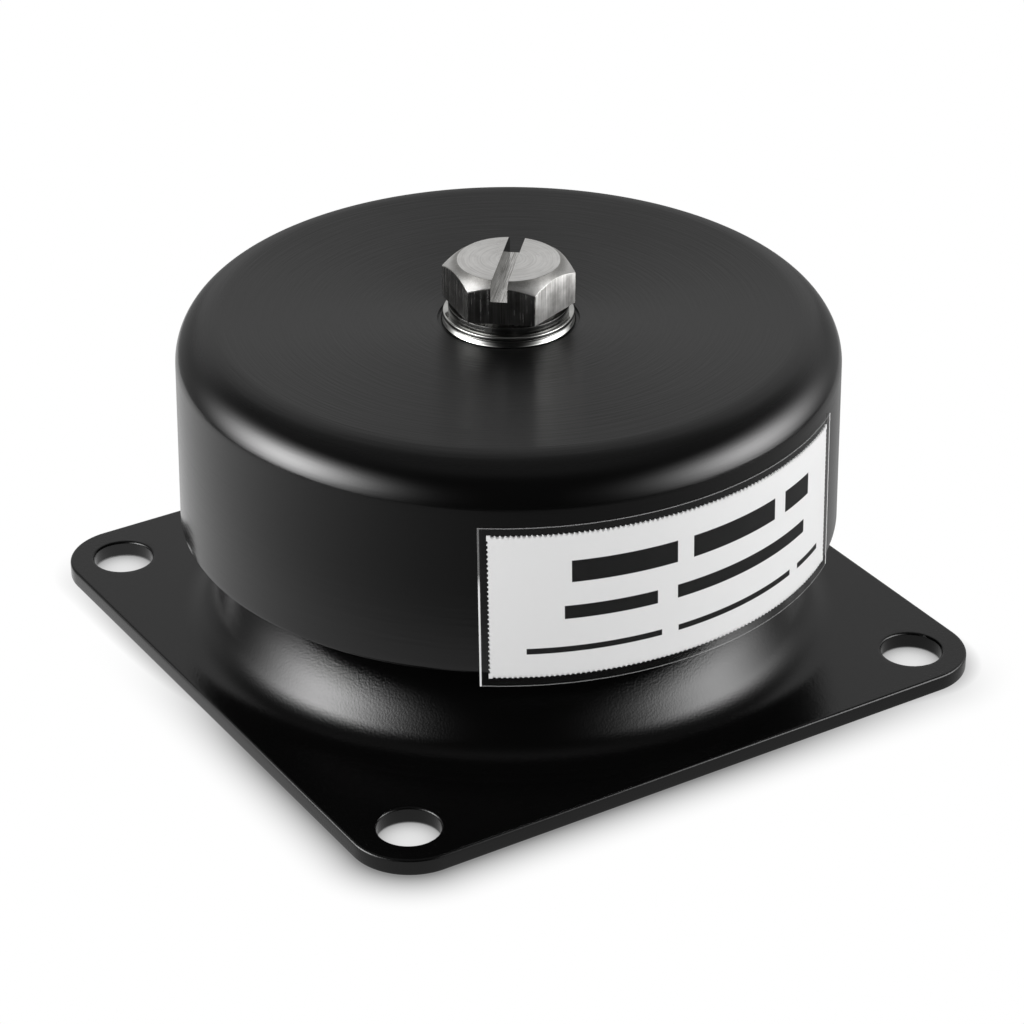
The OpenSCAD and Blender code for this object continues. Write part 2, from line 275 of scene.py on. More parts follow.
def turnedPaint():
    # satin black over turning marks: long shallow grooves round the axis, broken here and there
    look = {
        "color": 0.002,
        "rough": 0.105,
        "patchScale": 90,
        "patchRough": 0.06,
        "grooveRough": 0.05,
        "grooveWidth": 0.42,
        "grooveTurn": 0.35,
        "grooveDepth": 0.04,
        "fineScale": 5200,
        "fineDepth": 0.003,
        "topRough": 0.14,
        "topBrushed": 0.9,
        "sideFrom": 33.0,
        "sideTo": 36.2,
        "sideLoss": 0.7,
    }
    tree = newTree("capPaint")
    place = tree.place()
    x, y, _ = tree.parts(place)
    radius, _, height = tree.polar(place)
    across = (radius + height) / (look["grooveWidth"] * mm)
    turnX = x / radius / look["grooveTurn"]
    turnY = y / radius / look["grooveTurn"]
    grooves = tree.noise(tree.vector(across, turnX, turnY), 1, 3, 0.6)
    fine = tree.noise(place, look["fineScale"], 2)
    patches = tree.noise(place, look["patchScale"], 3)
    rough = patches * look["patchRough"] + grooves * look["grooveRough"] + look["rough"]
    sideShare = (radius / mm).step(look["sideFrom"], look["sideTo"])
    normal = tree.bump(grooves * (1 - sideShare * look["sideLoss"]), look["grooveDepth"] * mm)
    normal = tree.bump(fine, look["fineDepth"] * mm, normal)
    color = gray(look["color"])
    side = tree.principled(Base_Color=color, Roughness=rough, Normal=normal)
    top = tree.principled(
        Base_Color=color,
        Roughness=rough + look["topRough"],
        Normal=normal,
        Anisotropic=look["topBrushed"],
        Anisotropic_Rotation=0.25,
    )
    return tree.surface(top, side, sideShare)


def grainedPaint():
    # satin black with a fine leathery grain that breaks the highlights up
    look = {
        "color": 0.002,
        "rough": 0.125,
        "patchScale": 120,
        "patchRough": 0.05,
        "grainScale": 4200,
        "grainDepth": 0.02,
        "gloss": 0.42,
    }
    tree = newTree("basePaint")
    place = tree.place()
    grain = tree.noise(place, look["grainScale"], 3, 0.55)
    patches = tree.noise(place, look["patchScale"], 3)
    return tree.surface(tree.principled(
        Base_Color=gray(look["color"]),
        Roughness=patches * look["patchRough"] + look["rough"],
        Normal=tree.bump(grain, look["grainDepth"] * mm),
        Specular_IOR_Level=look["gloss"],
    ))


def washerSteel(name, dark, pale, rough):
    # steel between a dark and a pale level, with faint turning marks about the axis
    look = {
        "ringWidth": 0.2,
        "ringHeight": 0.4,
        "ringDepth": 0.003,
        "patchScale": 420,
        "patchFrom": 0.35,
        "patchTo": 0.7,
        "patchRough": 0.12,
        "blueLoss": 0.97,
    }
    tree = newTree(name)
    place = tree.place()
    radius, _, height = tree.polar(place)
    along = tree.vector(radius / (look["ringWidth"] * mm), 0, height / (look["ringHeight"] * mm))
    rings = tree.noise(along, 1, 2)
    patches = tree.noise(place, look["patchScale"], 3)
    ends = [(level, level, level * look["blueLoss"], 1) for level in (dark, pale)]
    return tree.surface(tree.principled(
        Base_Color=tree.mix(patches.step(look["patchFrom"], look["patchTo"]), *ends),
        Metallic=1,
        Roughness=patches * look["patchRough"] + rough,
        Normal=tree.bump(rings, look["ringDepth"] * mm),
    ))


def headSteel():
    # the head's face has turning marks, its sides upright ones and its slot lengthwise ones
    look = {
        "face": 46.45,
        "faceSoft": (0.05, 0.02),
        "faceRadius": 5.72,
        "chamfer": 35,
        "chamferSoft": (0.16, 0.06),
        "slotTurn": 48.3,
        "slotHalf": 0.935,
        "slotFloor": 44.2,
        "slotShadeSoft": (0.04, 0.12),
        "dullTurn": -69.2,
        "dullCosine": 0.866,
        # radii where the chamfer's corners are made pale: a painted highlight
        "cornerGlintRadius": (5.9, 7.1),
        "markScale": 9,
        "markDepth": 0.012,
        "faceFlat": 0.4,
        "ringWidth": 0.16,
        "ringScale": 0.25,
        "uprightScale": 0.12,
        "lengthScale": (0.3, 0.2),
        "patchScale": 650,
        "dark": (0.44, 0.43, 0.41, 1),
        "pale": (0.95, 0.94, 0.92, 1),
        # dark steel painted on the slot's walls: painted shade
        "wall": (0.10, 0.10, 0.09, 1),
        "toneMarks": 0.65,
        "toneRange": (0.3, 0.68),
        "chamferLoss": 0.6,
        "faceLoss": 0.5,
        "faceTone": 0.56,
        "slotTone": 0.8,
        "slotRange": (0.36, 0.58),
        "streakRange": (0.5, 0.66),
        "drawn": {"rough": 0.1, "patches": 0.12, "dull": 0.18, "streaks": 0.12},
        "dullMetal": 0.14,
        "streakMetal": 0.015,
        "cut": {"rough": 0.24, "patches": 0.1, "chamfer": 0.26},
        "brushed": 0.8,
    }
    tree = newTree("headSteel")
    place = tree.place()
    x, y, _ = tree.parts(place)
    radius, _, height = tree.polar(place)
    height = height / mm

    def forward(degrees):
        # how far out a point lies in a level direction
        turn = np.radians(degrees)
        return x * np.cos(turn) + y * np.sin(turn)

    def marks(*scaled):
        return tree.noise(tree.vector(*scaled), 1, 3, 0.6)

    along = forward(look["slotTurn"]) / mm
    across = forward(look["slotTurn"] + 90) / mm

    # shares of the face, the slot, the chamfer, the dull flat, the chamfer's corners that get a
    # painted highlight and the slot's walls that get painted shade
    face = height.step(*[look["face"] - soft for soft in look["faceSoft"]])
    inSlot = abs(across) < look["slotHalf"]
    cone = height + (radius / mm - look["faceRadius"]) * np.tan(np.radians(look["chamfer"]))
    cone = cone.step(*[look["face"] - soft for soft in look["chamferSoft"]])
    chamfer = cone * (1 - face) * (1 - inSlot)
    dull = (forward(look["dullTurn"]) / radius > look["dullCosine"]) * (1 - chamfer)
    # the chamfer's outer corners: where a painted highlight goes
    cornerGlint = (radius / mm).step(*look["cornerGlintRadius"]) * chamfer
    slot = inSlot * (1 - face)
    # the slot's walls above its floor, where shade is painted
    wall = slot * height.step(*[look["slotFloor"] + soft for soft in look["slotShadeSoft"]])

    # marks, each run fine across its own direction and slow along it
    fine, slow = look["markScale"], look["ringScale"]
    rings = marks(radius / (look["ringWidth"] * mm), across * slow, along * slow)
    upright = marks(across * fine, along * fine, height * look["uprightScale"])
    alongScale, heightScale = look["lengthScale"]
    lengthwise = marks(across * fine, along * alongScale, height * heightScale)
    streaks = upright.step(*look["streakRange"]) * (1 - inSlot)
    relief = face * rings + (1 - face) * (inSlot * lengthwise + (1 - inSlot) * upright)
    normal = tree.bump(relief * (1 - face * look["faceFlat"]), look["markDepth"] * mm)
    patches = tree.noise(place, look["patchScale"], 4, 0.6)

    # tone, from the dark steel to the pale one
    tone = relief * look["toneMarks"] + patches * (1 - look["toneMarks"])
    tone = tone.step(*look["toneRange"]) * (1 - chamfer * look["chamferLoss"])
    tone = tone * (1 - face * look["faceLoss"]) * (1 - slot)
    cuts = lengthwise.step(*look["slotRange"])
    # the chamfer's corners are added as pale tone: painted highlight
    tone = tone + face * look["faceTone"] + slot * cuts * look["slotTone"] + cornerGlint
    # the slot's walls take the dark steel: painted shade
    color = tree.mix(wall, tree.mix(tone, look["dark"], look["pale"]), look["wall"])
    rough = look["drawn"]
    drawnRough = patches * rough["patches"] + dull * rough["dull"] + streaks * rough["streaks"]
    drawn = tree.principled(
        Base_Color=color,
        Metallic=1 - dull * look["dullMetal"] - streaks * look["streakMetal"],
        Roughness=drawnRough + rough["rough"],
        Normal=normal,
    )
    rough = look["cut"]
    cut = tree.principled(
        Base_Color=color,
        Metallic=1,
        Roughness=patches * rough["patches"] + chamfer * rough["chamfer"] + rough["rough"],
        Normal=normal,
        Anisotropic=look["brushed"],
        Anisotropic_Rotation=0.25,
    )
    return tree.surface(drawn, cut, face.most(chamfer))


def zincPlate():
    look = {
        "dark": (0.50, 0.49, 0.45, 1),
        "pale": (0.66, 0.64, 0.58, 1),
        "spangleScale": 1400,
        "spangleRough": 0.2,
        "rough": 0.32,
        "patchScale": 260,
        "patchDepth": 0.02,
    }
    tree = newTree("zincPlate")
    place = tree.place()
    cells = {"Vector": place, "Scale": look["spangleScale"]}
    spangle = tree.node("ShaderNodeTexVoronoi", {}, cells, "Distance")
    patches = tree.noise(place, look["patchScale"], 4)
    return tree.surface(tree.principled(
        Base_Color=tree.mix(patches.step(0.3, 0.7), look["dark"], look["pale"]),
        Metallic=1,
        Roughness=spangle * look["spangleRough"] + look["rough"],
        Normal=tree.bump(patches, look["patchDepth"] * mm),
    ))


def mouldedRubber():
    look = {
        "dark": 0.016,
        "pale": 0.034,
        "rough": 0.62,
        "bloomScale": 150,
        "bloomRough": 0.15,
        "pitScale": 3200,
        "pitDepth": 0.03,
    }
    tree = newTree("mouldedRubber")
    place = tree.place()
    pits = tree.noise(place, look["pitScale"], 4, 0.6)
    bloom = tree.noise(place, look["bloomScale"], 4)
    return tree.surface(tree.principled(
        Base_Color=tree.mix(bloom.step(0.4, 0.75), gray(look["dark"]), gray(look["pale"])),
        Roughness=bloom * look["bloomRough"] + look["rough"],
        Normal=tree.bump(pits, look["pitDepth"] * mm),
    ))


# Base: flat plate and flared bell, one skin of quads

base = {
    "side": plateHigh[0] * 2,
    "cornerRadius": 7.0,
    "holeInset": 6.5,
    "holeRadius": 3.5,
    "edgeSoft": 0.3,
    "holeSoft": 0.3,
    "holeRings": (0, 0.03, 0.1, 0.22, 0.36, 0.5, 0.64, 0.78, 0.9, 0.97, 1),
    "flareRadius": capRadius + 0.55,
    "footRadius": 5.8,
    "flankAngle": 56,
    "flankLength": 1.6,
    "openingRadius": 13.5,
    "stripAngle": 12,
}


def shoulderArc(spec):
    # centre and radius of the arc that leads from the top of the flank over to the flat ledge
    flank = np.radians(spec["flankAngle"])
    foot, length = spec["footRadius"], spec["flankLength"]
    flankX = spec["flareRadius"] - foot * np.sin(flank) - length * np.cos(flank)
    flankZ = sheet + foot * (1 - np.cos(flank)) + length * np.sin(flank)
    radius = (ledge - flankZ) / (1 - np.cos(flank))
    return flankX - radius * np.sin(flank), ledge - radius, radius


def bellProfile(spec):
    # from the foot of the flare over the shoulder to the opening and back below
    foot = spec["footRadius"]
    shoulderX, shoulderZ, shoulder = shoulderArc(spec)
    footZ = sheet + foot
    flare = spec["flareRadius"]
    lip = spec["openingRadius"] + sheet / 2
    lean = spec["flankAngle"]
    return chain(
        arc(flare, footZ, foot, 270, 270 - lean, 18),
        arc(shoulderX, shoulderZ, shoulder, 90 - lean, 90, 26),
        line((shoulderX, ledge), (lip, ledge), 4, 0.5),
        arc(lip, ledge - sheet / 2, sheet / 2, 90, 270, 12),
        line((lip, ledge - sheet), (shoulderX, ledge - sheet), 4, 0.5),
        arc(shoulderX, shoulderZ, shoulder - sheet, 90, 90 - lean, 20),
        arc(flare, footZ, foot + sheet, 270 - lean, 270, 18),
    )


def quarterTurns(points):
    # a set of (x, y) points turned to the four quarters
    quarters = [points]
    for _ in range(3):
        points = np.stack([-points[..., 1], points[..., 0]], axis=-1)
        quarters.append(points)
    return quarters


def raised(points, height):
    return np.concatenate([points, np.full(points.shape[:-1] + (1,), height)], axis=-1)


def cornerBorder(spec, reach):
    # border of the patch round one hole in two runs: side, round corner and side of the plate,
    # then cut, foot circle and cut
    strip = np.radians(spec["stripAngle"])
    corner = spec["side"] / 2 - spec["cornerRadius"]
    cut = reach * np.tan(strip)
    flare = spec["flareRadius"]
    outline = chain(
        line((reach, cut), (reach, corner), 16),
        arc(corner, corner, reach - corner, 0, 90, 24),
        line((corner, reach), (cut, reach), 16),
    )
    foot = (flare * np.sin(strip), flare * np.cos(strip))
    inner = chain(
        line((cut, reach), foot, 4),
        arc(0, 0, flare, 90 - spec["stripAngle"], spec["stripAngle"], 96),
        line(foot[::-1], (reach, cut), 4),
    )[1:-1]
    return outline, inner


def basePiece(spec, finish):
    half = spec["side"] / 2
    soft = spec["edgeSoft"]
    reach = half - soft
    corner = half - spec["cornerRadius"]
    outline, inner = cornerBorder(spec, reach)
    border = np.vstack([outline, inner])
    hole = np.array([half - spec["holeInset"]] * 2)
    spokes = border - hole
    length = np.linalg.norm(spokes, axis=1, keepdims=True)
    direction = spokes / length
    mouth = spec["holeRadius"] + spec["holeSoft"]

    # plate round a hole: from the mouth's circle straight out to the border
    share = np.array(spec["holeRings"])[:, None, None]
    patch = hole + direction * (mouth + (length - mouth) * share)

    # hole's wall: the mouth's circle carried down a section with both rims rounded
    wall = chain(
        arc(mouth, sheet - spec["holeSoft"], spec["holeSoft"], 90, 180, 6),
        arc(mouth, spec["holeSoft"], spec["holeSoft"], 180, 270, 6),
    )[:, None]
    bore = np.concatenate([
        hole + direction * wall[..., :1],
        np.broadcast_to(wall[..., 1:], wall.shape[:1] + (len(border), 1)),
    ], axis=-1)

    # plate between the foot circle and a side: straight out along each direction
    angles = np.radians(np.linspace(-spec["stripAngle"], spec["stripAngle"], 33))
    ray = np.column_stack([np.cos(angles), np.sin(angles)])
    outward = np.linspace(0, 1, 5)[:, None, None]
    far = reach / np.cos(angles)[:, None]
    strip = ray * (spec["flareRadius"] + (far - spec["flareRadius"]) * outward)

    # plate's edge: the outline carried outwards and down a round section
    edgeLine = chain(strip[-1], outline)
    normals = np.clip(edgeLine - corner, 0, None)
    normals[: len(angles)] = (1, 0)
    normals = normals / np.linalg.norm(normals, axis=1, keepdims=True)
    section = chain(
        arc(0, sheet - soft, soft, 90, 0, 6),
        line((soft, sheet - soft), (soft, soft), 3),
        arc(0, soft, soft, 0, -90, 6),
    )[:, None]
    edge = np.concatenate([
        edgeLine + normals * section[..., :1],
        np.broadcast_to(section[..., 1:], section.shape[:1] + (len(edgeLine), 1)),
    ], axis=-1)

    # bell: its section at the same turns as the plate's inner border
    cornerTurn = np.linspace(spec["stripAngle"], 90 - spec["stripAngle"], 97)
    stripTurn = np.linspace(-spec["stripAngle"], spec["stripAngle"], 33)
    turn = np.radians(np.concatenate([
        np.r_[stripTurn[:-1], cornerTurn[:-1]] + quarter for quarter in (0, 90, 180, 270)
    ]))[:, None]
    profile = bellProfile(spec)
    bell = np.stack([
        profile[:, 0] * np.cos(turn),
        profile[:, 0] * np.sin(turn),
        np.broadcast_to(profile[:, 1], (len(turn), len(profile))),
    ], axis=-1)

    grids = [(bell, True, False)]
    for level in (sheet, 0):
        grids += [(raised(quarter, level), False, True) for quarter in quarterTurns(patch)]
        grids += [(raised(quarter, level), False, False) for quarter in quarterTurns(strip)]
    for shape, closed in ((bore, True), (edge, False)):
        for quarter in quarterTurns(shape[..., :2]):
            grids.append((np.concatenate([quarter, shape[..., 2:]], axis=-1), False, closed))
    return makePiece("basePressing", grids, finish, ["base_plate"])


basePiece(base, grainedPaint())
print("base made")


# Cap: one turned section with a rolled edge, a leaning side and a dished top

cap = {
    "radius": capRadius,
    "wall": 1.5,
    "crownRadius": 5.1,
    "dish": 0.85,
    "draft": 0.76,
    "rimSoft": 0.4,
    "seatRadius": 9.0,
    "recessRadius": 8.0,
    "recessDepth": 0.3,
    "recessSoft": 0.06,
    "boltRadius": 4.5,
}


def capSide(height, inset=0):
    # radius of the leaning side at a height, so far inside its outer face
    draft = np.radians(cap["draft"])
    return cap["radius"] - (height - rim) * np.tan(draft) - inset / np.cos(draft)


def capPiece(spec, finish):
    # the dished top is the straight line from the seat's border that touches the edge's round
    edgeR = spec["crownRadius"]
    draft = spec["draft"]
    edgeZ = crown - edgeR
    edgeX = capSide(edgeZ, edgeR)
    seatZ = crown - spec["dish"]
    span = np.hypot(edgeX - spec["seatRadius"], edgeR - spec["dish"])
    rise = np.arctan2(edgeR - spec["dish"], edgeX - spec["seatRadius"])
    slope = np.degrees(np.arcsin(edgeR / span) - rise)
    turnZ = rim + spec["rimSoft"]
    floorZ = seatZ - spec["recessDepth"]
    soft = spec["recessSoft"]
    innerSeat = spec["seatRadius"] + spec["wall"] * np.tan(np.radians(slope) / 2)
    outside = arc(edgeX, edgeZ, edgeR, 90 + slope, draft, 28)
    inside = arc(edgeX, edgeZ, edgeR - spec["wall"], draft, 90 + slope, 20)
    rimOut = arc(capSide(turnZ, spec["rimSoft"]), turnZ, spec["rimSoft"], draft, -90, 7)
    rimInX = capSide(turnZ, spec["wall"] - spec["rimSoft"])
    rimIn = arc(rimInX, turnZ, spec["rimSoft"], -90, draft - 180, 7)
    profile = chain(
        line((spec["boltRadius"], floorZ), (spec["recessRadius"], floorZ), 4),
        arc(spec["recessRadius"] + soft, seatZ - soft, soft, 180, 90, 4),
        line((spec["seatRadius"], seatZ), outside[0], 14, 0.3),
        outside,
        line(outside[-1], rimOut[0], 12, 0.6),
        rimOut,
        rimIn,
        line(rimIn[-1], inside[0], 8, 0.6),
        inside,
        line(inside[-1], (innerSeat, seatZ - spec["wall"]), 6),
        line((innerSeat, seatZ - spec["wall"]), (spec["boltRadius"], seatZ - spec["wall"]), 3),
    )
    return makePiece("drawnCap", [turned(profile, True, 512)], finish, ["cap"])


capPiece(cap, turnedPaint())
print("cap made")


# Washers on the cap's seat

bright = washerSteel("washerSteel", dark=0.62, pale=0.76, rough=0.06)
# the spring washer's steel is much darker than that of the washers above it
spring = washerSteel("springSteel", dark=0.10, pale=0.24, rough=0.20)
seatLow, seatHigh = corners("seat_washer")
plainLow, plainHigh = corners("plain_washer")
lockLow, lockHigh = corners("lock_washer")
washerBore = 4.2


def seatWasher(finish):
    # its side leans in from just above the recess, as a stamped washer's does
    spec = {"lean": 0.26, "soft": 0.05, "upright": 0.25}
    radius, low, high = seatHigh[0], seatLow[2], seatHigh[2]
    profile = chain(
        (washerBore, low),
        (radius - spec["soft"], low),
        (radius, low + spec["soft"]),
        line((radius, low + spec["upright"]), (radius - spec["lean"], high - spec["soft"]), 4),
        (radius - spec["lean"] - spec["soft"], high),
        line((radius - spec["lean"] - 3 * spec["soft"], high), (washerBore, high), 5),
    )
    return makePiece("seatWasherRing", [turned(profile)], finish, ["seat_washer"])


def plainWasher(finish):
    spec = {"soft": 0.15}
    thick = plainHigh[2] - plainLow[2]
    profile = softDisc(plainHigh[0], washerBore, plainLow[2], thick, spec["soft"])
    return makePiece("plainWasherRing", [turned(profile)], finish, ["plain_washer"])


def lockWasher(finish):
    # a ring carried from one side of its split to the other; the ends slant with the height
    spec = {"radius": 6.8, "gap": 0.9, "slant": 35, "direction": 60, "soft": 0.06, "turns": 200}
    thick = lockHigh[2] - lockLow[2]
    profile = softDisc(spec["radius"], washerBore, lockLow[2], thick, spec["soft"], 3)
    middle = (lockLow[2] + lockHigh[2]) / 2
    width = spec["gap"] / np.cos(np.radians(spec["slant"])) / 2
    lean = -(profile[:, 1] - middle) * np.tan(np.radians(spec["slant"]))
    start = np.arcsin((width + lean) / profile[:, 0])
    end = 2 * np.pi - np.arcsin((width - lean) / profile[:, 0])
    share = np.linspace(0, 1, spec["turns"])[:, None]
    turn = start + (end - start) * share + np.radians(spec["direction"])
    ring = np.stack([
        profile[:, 0] * np.cos(turn),
        profile[:, 0] * np.sin(turn),
        np.broadcast_to(profile[:, 1], turn.shape),
    ], axis=-1)
    ends = []
    for row in (ring[0], ring[-1]):
        centre = row.mean(axis=0)
        inward = np.linspace(0, 1, 4)[:, None, None]
        ends.append((row + (centre - row) * inward, False, True))
    grids = [(ring, False, True)] + ends
    return makePiece("springWasher", grids, finish, ["lock_washer"])


seatWasher(bright)
plainWasher(bright)
lockWasher(spring)
print("washers made")


# Screw: the CAD solid's own form with its edges broken by a small bevel

def screwPiece(finish):
    spec = {"flat": 0.5, "sharp": 30, "bevel": 0.1, "segments": 3, "angle": 28}
    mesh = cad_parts["hex_screw"].data.copy()
    work = bmesh.new()
    work.from_mesh(mesh)
    bmesh.ops.remove_doubles(work, verts=work.verts, dist=mergeReach)
    level = np.radians(spec["flat"])
    bmesh.ops.dissolve_limit(work, angle_limit=level, verts=work.verts, edges=work.edges)
    work.to_mesh(mesh)
    work.free()
    mesh.materials.clear()
    piece = finishPiece("slottedScrew", mesh, finish, ["hex_screw"], spec["sharp"])
    bevel = piece.modifiers.new("brokenEdges", "BEVEL")
    bevel.width = spec["bevel"] * mm
    bevel.segments = spec["segments"]
    bevel.limit_method = "ANGLE"
    bevel.angle_limit = np.radians(spec["angle"])
    bevel.harden_normals = True
    graph = bpy.context.evaluated_depsgraph_get()
    piece.data = bpy.data.meshes.new_from_object(piece.evaluated_get(graph))
    piece.modifiers.clear()
    return piece


screwPiece(headSteel())
print("screw made")


# Rubber rings, core and plates, which show only from below

rubber = mouldedRubber()
zinc = zincPlate()
reboundLow, reboundHigh = corners("rebound_ring")
coreLow, coreHigh = corners("core")
supportLow, supportHigh = corners("support_plate")
reboundPlateLow, reboundPlateHigh = corners("rebound_washer")
coreRadius = 8.0
tailRadius = 5.0
supportBore = 4.5
plateSoft = 0.4


def loadRing(finish):
    # outer face: straight between its ends less a waist that goes with the sine squared;
    # cavity: a smooth step from its mouth in to the core; below it the bell's own shoulder
    spec = {
        "wrap": 31,
        "waist": 3.0,
        "foot": 1.0,
        "close": 0.55,
        "cavityRadius": 15.0,
        "topInset": 1.0,
    }
    shoulderX, shoulderZ, shoulder = shoulderArc(base)
    footTop = ledge + spec["foot"]
    rise = supportLow[2] - footTop
    share = np.linspace(0, 1, 33)
    wrapRadius = shoulderX + shoulder * np.sin(np.radians(spec["wrap"]))
    topRadius = supportHigh[0] - spec["topInset"]
    waist = spec["waist"] * np.sin(np.pi * share) ** 2
    outerRadius = wrapRadius + (topRadius - wrapRadius) * share - waist
    outer = np.column_stack([outerRadius, footTop + rise * share])
    closing = share * share * (3 - 2 * share)
    cavityRadius = spec["cavityRadius"] - (spec["cavityRadius"] - coreRadius) * closing
    cavity = np.column_stack([cavityRadius, footTop + rise * spec["close"] * share])
    profile = chain(
        outer,
        (coreRadius, supportLow[2]),
        cavity[::-1],
        (spec["cavityRadius"], ledge),
        arc(shoulderX, shoulderZ, shoulder, 90, 90 - spec["wrap"], 14),
    )
    return makePiece("loadRubber", [turned(profile)], finish, ["load_ring"])


def reboundRing(finish):
    # flange under the ledge, then the round of the bell's opening, then the collar's bevelled top
    spec = {"collar": 1.0, "bevel": 0.6, "flangeBevel": 0.8}
    low, radius, bevel = reboundLow[2], reboundHigh[0], spec["flangeBevel"]
    lip = base["openingRadius"] + sheet / 2
    opening = base["openingRadius"]
    top = ledge + spec["collar"]
    profile = chain(
        (coreRadius, low),
        line((coreRadius + 0.1, low), (radius - bevel, low), 5),
        arc(radius - bevel, low + bevel, bevel, -90, 0, 6),
        (radius, ledge - sheet),
        arc(lip, ledge - sheet / 2, sheet / 2, 270, 180, 8),
        (opening, top - spec["bevel"]),
        (opening - spec["bevel"], top),
        (coreRadius, top),
    )
    return makePiece("reboundRubber", [turned(profile)], finish, ["rebound_ring"])


def corePiece(finish):
    # riveted tail, shoulder and body, with a blind bore that ends in a drill's point
    spec = {"lip": 1.4, "rivet": 1.3, "boreRadius": 4.05, "boreFloor": 19.15, "point": 2.43}
    low, top = coreLow[2], coreHigh[2]
    head = tailRadius + spec["lip"]
    half = spec["rivet"] / 2
    profile = chain(
        line((0, low), (head - half, low), 5),
        arc(head - half, low + half, half, -90, 0, 7),
        (head, low + spec["rivet"]),
        (tailRadius, low + spec["rivet"]),
        (tailRadius, reboundLow[2]),
        (coreRadius, reboundLow[2]),
        line((coreRadius, reboundLow[2]), (coreRadius, top), 8),
        (spec["boreRadius"], top),
        (spec["boreRadius"], spec["boreFloor"]),
        (0, spec["boreFloor"] - spec["point"]),
    )
    return makePiece("turnedCore", [turned(profile, False)], finish, ["core"])


def flatRing(name, low, high, inner, finish, node):
    profile = softDisc(high[0], inner, low[2], high[2] - low[2], plateSoft)
    return makePiece(name, [turned(profile)], finish, [node])


loadRing(rubber)
reboundRing(rubber)
corePiece(zinc)
flatRing("supportDisc", supportLow, supportHigh, supportBore, zinc, "support_plate")
flatRing("reboundDisc", reboundPlateLow, reboundPlateHigh, tailRadius, zinc, "rebound_washer")
print("inner pieces made")


# Label and film, sheets on the cap's leaning side

label = {
    "width": 47.1,
    "margin": 0.95,
    "hang": 1.0,
    "topGap": 1.25,
    "thick": 0.12,
    "film": 0.08,
    "filmSkin": 0.03,
    "direction": -89.75,
    "tilt": 0.8,
    "toothPitch": 0.56,
    "toothDepth": 0.42,
    "grid": (337, 125),
    "filmGrid": (97, 25),
}
filmHeight = crown - cap["crownRadius"] - rim - label["topGap"] + label["hang"]
labelMiddle = rim - label["hang"] + filmHeight / 2


def onSide(across, up, out):
    # a flat (across, up) point tilted in its own plane and wrapped round the cap's side
    tilt = np.radians(label["tilt"])
    height = labelMiddle + up * np.cos(tilt) + across * np.sin(tilt)
    around = across * np.cos(tilt) - up * np.sin(tilt)
    turn = np.radians(label["direction"]) + around / cap["radius"]
    radius = capSide(height, -out)
    return np.stack([radius * np.cos(turn), radius * np.sin(turn), height], axis=-1)


def teeth(run, length):
    # a triangle wave along an edge with its tips cut off, flat at its two ends
    wave = np.clip(np.abs((run / label["toothPitch"]) % 1 - 0.5) * 4 - 0.6, 0, 1)
    return label["toothDepth"] * wave * (np.abs(run) < length / 2 - label["toothPitch"])


def sheetPiece(name, width, height, depths, grid, toothed, finish, node):
    # front and back grids at two depths, joined round their border
    columns, rows = grid
    inner, outer = depths
    u = np.linspace(-0.5, 0.5, columns)[:, None] * width
    v = np.linspace(-0.5, 0.5, rows)[None, :] * height
    across = np.broadcast_to(u, (columns, rows)).copy()
    up = np.broadcast_to(v, (columns, rows)).copy()
    if toothed:
        across[0] += teeth(v[0], height)
        across[-1] -= teeth(v[0], height)
        up[:, 0] += teeth(u[:, 0], width)
        up[:, -1] -= teeth(u[:, 0], width)
    front = onSide(across, up, outer)
    back = onSide(across, up, inner)
    grids = [(front, False, False), (back, False, False)]
    for end in (0, -1):
        grids.append((np.stack([front[end], back[end]]), False, False))
        grids.append((np.stack([front[:, end], back[:, end]]), False, False))
    piece = makePiece(name, grids, finish, [node], 60)
    points = np.zeros(len(piece.data.vertices) * 3)
    piece.data.vertices.foreach_get("co", points)
    x, y, z = points.reshape(-1, 3).T / mm
    turn = np.arctan2(y, x) - np.radians(label["direction"])
    turn = (turn + np.pi) % (2 * np.pi) - np.pi
    tilt = np.radians(label["tilt"])
    around, rise = turn * cap["radius"], z - labelMiddle
    flat = np.column_stack([
        around * np.cos(tilt) + rise * np.sin(tilt),
        rise * np.cos(tilt) - around * np.sin(tilt),
    ])
    corner = np.zeros(len(piece.data.loops), dtype=int)
    piece.data.loops.foreach_get("vertex_index", corner)
    layer = piece.data.uv_layers.new(name="flat")
    layer.data.foreach_set("uv", (flat[corner] / (width, height) + 0.5).ravel())
    return piece


def barMask(across, up, bar):
    # 1 inside a bar given by its middle, width and height, with a slightly soft edge
    x, y, width, height = bar
    inX = width / 2 - abs(across - x)
    inY = height / 2 - abs(up - y)
    return inX.least(inY).step(-0.03, 0.03)


